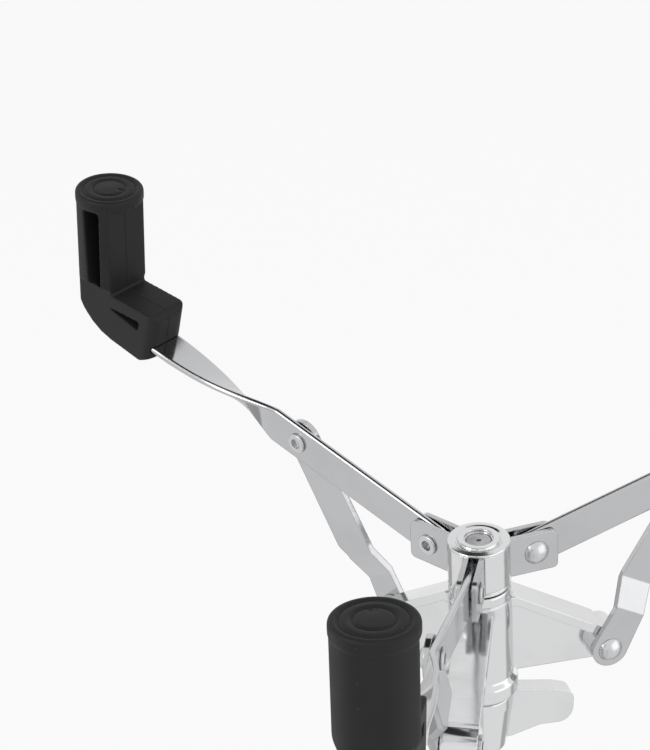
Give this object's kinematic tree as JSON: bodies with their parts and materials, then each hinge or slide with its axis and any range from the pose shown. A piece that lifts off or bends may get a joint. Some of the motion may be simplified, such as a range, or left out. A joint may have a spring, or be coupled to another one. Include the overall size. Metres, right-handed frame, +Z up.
{
  "type": "snare drum stand",
  "caption": "Folding drum stand: three twisted strip arms with rubber posts on a sliding runner, a tilting rod, a telescopic tube and a braced folding tripod.",
  "frame": {"origin": "on the floor, on the axis of the stand's tubes, midway between the reaches of the basket and the tripod", "axes": "+Z up along the tubes; -Y towards the front arm; the other two arms are at 30 and 150 degrees from +X and the legs at 90, 210 and 330 degrees"},
  "size_m": [0.364, 0.4132, 0.6495],
  "materials": {
    "strip_chrome": "polished plate on pressed steel strip",
    "cast_chrome": "polished plate on castings",
    "tube_chrome": "polished plate on steel tube",
    "rivet_chrome": "plated rivets",
    "steel": "zinc-plated steel, satin",
    "rubber": "black rubber, matt",
    "nylon": "natural nylon"
  },
  "bodies": {
    "stand_base": {"lower_tube": "tube_chrome", "tube_bushing": "nylon", "height_clamp": "cast_chrome", "height_nut": "steel", "bottom_collar": "cast_chrome", "brace_pins": "steel", "tube_plug": "rubber"},
    "memory_collar": {"memory_collar": "cast_chrome"},
    "memory_bolt": {"memory_bolt": "steel"},
    "height_wing_bolt": {"height_wing_bolt": "cast_chrome"},
    "upper_tube": {"upper_tube": "tube_chrome", "tilter_lower": "cast_chrome", "tilter_bolt": "steel", "tilter_washer": "steel"},
    "tilter_wing_nut": {"tilter_wing_nut": "cast_chrome"},
    "tilter_head": {"tilter_upper": "cast_chrome", "rod_lock_nut": "steel", "centre_rod": "steel", "hub_casting": "cast_chrome", "hub_cap": "cast_chrome", "hub_brackets": "strip_chrome", "hub_rivets": "rivet_chrome"},
    "runner": {"runner": "cast_chrome", "runner_bush": "nylon", "lug_pins": "rivet_chrome", "thrust_washer": "steel"},
    "adjusting_nut": {"adjusting_nut": "cast_chrome"},
    "leg_collar": {"leg_collar": "cast_chrome", "leg_pins": "steel"},
    "leg_wing_bolt": {"leg_wing_bolt": "cast_chrome"},
    "arm_left": {"arm_left": "strip_chrome", "tip_left": "rubber", "arm_rivet_left": "rivet_chrome"},
    "link_left": {"link_left": "strip_chrome", "link_rivet_left": "rivet_chrome"},
    "arm_right": {"arm_right": "strip_chrome", "tip_right": "rubber", "arm_rivet_right": "rivet_chrome"},
    "link_right": {"link_right": "strip_chrome", "link_rivet_right": "rivet_chrome"},
    "arm_front": {"arm_front": "strip_chrome", "tip_front": "rubber", "arm_rivet_front": "rivet_chrome"},
    "link_front": {"link_front": "strip_chrome", "link_rivet_front": "rivet_chrome"},
    "leg_rear": {"leg_rear": "strip_chrome", "foot_rear": "rubber", "leg_stud_rear": "steel"},
    "brace_rear": {"brace_rear": "strip_chrome"},
    "leg_left": {"leg_left": "strip_chrome", "foot_left": "rubber", "leg_stud_left": "steel"},
    "brace_left": {"brace_left": "strip_chrome"},
    "leg_right": {"leg_right": "strip_chrome", "foot_right": "rubber", "leg_stud_right": "steel"},
    "brace_right": {"brace_right": "strip_chrome"}
  },
  "joints": [
    {"name": "memory_collar_swivel", "type": "hinge", "parent": "stand_base", "child": "memory_collar", "pos_m": [0, 0, 0.2823], "axis": [0, 0, 1], "continuous": true},
    {"name": "memory_bolt_turn", "type": "hinge", "parent": "memory_collar", "child": "memory_bolt", "pos_m": [0, -0.02, 0.2823], "axis": [0, -1, 0], "continuous": true},
    {"name": "height_slide", "type": "slide", "parent": "memory_collar", "child": "upper_tube", "axis": [0, 0, 1], "range_m": [-0.0163, 0.1]},
    {"name": "height_wing_bolt_turn", "type": "hinge", "parent": "stand_base", "child": "height_wing_bolt", "pos_m": [0.01, 0.0253, 0.255], "axis": [1, 0, 0], "continuous": true},
    {"name": "tilter_hinge", "type": "hinge", "parent": "upper_tube", "child": "tilter_head", "pos_m": [0, 0, 0.344], "axis": [1, 0, 0], "range_deg": [-60, 60]},
    {"name": "tilter_wing_nut_turn", "type": "hinge", "parent": "upper_tube", "child": "tilter_wing_nut", "pos_m": [0.02, 0, 0.344], "axis": [1, 0, 0], "continuous": true},
    {"name": "runner_slide", "type": "slide", "parent": "tilter_head", "child": "runner", "axis": [0, 0, -1], "range_m": [0, 0.07832]},
    {"name": "adjusting_nut_turn", "type": "hinge", "parent": "runner", "child": "adjusting_nut", "pos_m": [0, 0, 0.472], "axis": [0, 0, 1], "continuous": true},
    {"name": "leg_collar_slide", "type": "slide", "parent": "stand_base", "child": "leg_collar", "axis": [0, 0, 1], "range_m": [0, 0.0487]},
    {"name": "leg_wing_bolt_turn", "type": "hinge", "parent": "leg_collar", "child": "leg_wing_bolt", "pos_m": [0, -0.03, 0.178], "axis": [0, -1, 0], "continuous": true},
    {"name": "arm_left_hinge", "type": "hinge", "parent": "tilter_head", "child": "arm_left", "pos_m": [-0.01914, 0.01105, 0.544], "axis": [-0.5, -0.866, 0], "range_deg": [0, 60.71]},
    {"name": "link_left_hinge", "type": "hinge", "parent": "arm_left", "child": "link_left", "pos_m": [-0.07908, 0.04566, 0.56346], "axis": [-0.5, -0.866, 0], "range_deg": [-75.16, 0]},
    {"name": "arm_right_hinge", "type": "hinge", "parent": "tilter_head", "child": "arm_right", "pos_m": [0.01914, 0.01105, 0.544], "axis": [-0.5, 0.866, 0], "range_deg": [0, 60.71]},
    {"name": "link_right_hinge", "type": "hinge", "parent": "arm_right", "child": "link_right", "pos_m": [0.07908, 0.04566, 0.56346], "axis": [-0.5, 0.866, 0], "range_deg": [-75.16, 0]},
    {"name": "arm_front_hinge", "type": "hinge", "parent": "tilter_head", "child": "arm_front", "pos_m": [0, -0.0221, 0.544], "axis": [1, 0, 0], "range_deg": [0, 60.71]},
    {"name": "link_front_hinge", "type": "hinge", "parent": "arm_front", "child": "link_front", "pos_m": [0, -0.09132, 0.56346], "axis": [1, 0, 0], "range_deg": [-75.16, 0]},
    {"name": "leg_rear_hinge", "type": "hinge", "parent": "leg_collar", "child": "leg_rear", "pos_m": [0, 0.025, 0.178], "axis": [-1, 0, 0], "range_deg": [0, 31.53]},
    {"name": "brace_rear_hinge", "type": "hinge", "parent": "stand_base", "child": "brace_rear", "pos_m": [0, 0.025, 0.058], "axis": [-1, 0, 0], "range_deg": [-32.44, 0]},
    {"name": "leg_left_hinge", "type": "hinge", "parent": "leg_collar", "child": "leg_left", "pos_m": [-0.02165, -0.0125, 0.178], "axis": [0.5, -0.866, 0], "range_deg": [0, 31.53]},
    {"name": "brace_left_hinge", "type": "hinge", "parent": "stand_base", "child": "brace_left", "pos_m": [-0.02165, -0.0125, 0.058], "axis": [0.5, -0.866, 0], "range_deg": [-32.44, 0]},
    {"name": "leg_right_hinge", "type": "hinge", "parent": "leg_collar", "child": "leg_right", "pos_m": [0.02165, -0.0125, 0.178], "axis": [0.5, 0.866, 0], "range_deg": [0, 31.53]},
    {"name": "brace_right_hinge", "type": "hinge", "parent": "stand_base", "child": "brace_right", "pos_m": [0.02165, -0.0125, 0.058], "axis": [0.5, 0.866, 0], "range_deg": [-32.44, 0]}
  ],
  "couplings": [
    {"joint": "arm_left_hinge", "follows": "runner_slide", "rad_per_m": 13.527},
    {"joint": "link_left_hinge", "follows": "runner_slide", "rad_per_m": -16.747},
    {"joint": "arm_right_hinge", "follows": "runner_slide", "rad_per_m": 13.527},
    {"joint": "link_right_hinge", "follows": "runner_slide", "rad_per_m": -16.747},
    {"joint": "arm_front_hinge", "follows": "runner_slide", "rad_per_m": 13.527},
    {"joint": "link_front_hinge", "follows": "runner_slide", "rad_per_m": -16.747},
    {"joint": "leg_rear_hinge", "follows": "leg_collar_slide", "rad_per_m": 11.295},
    {"joint": "brace_rear_hinge", "follows": "leg_collar_slide", "rad_per_m": -11.622},
    {"joint": "leg_left_hinge", "follows": "leg_collar_slide", "rad_per_m": 11.295},
    {"joint": "brace_left_hinge", "follows": "leg_collar_slide", "rad_per_m": -11.622},
    {"joint": "leg_right_hinge", "follows": "leg_collar_slide", "rad_per_m": 11.295},
    {"joint": "brace_right_hinge", "follows": "leg_collar_slide", "rad_per_m": -11.622}
  ]
}
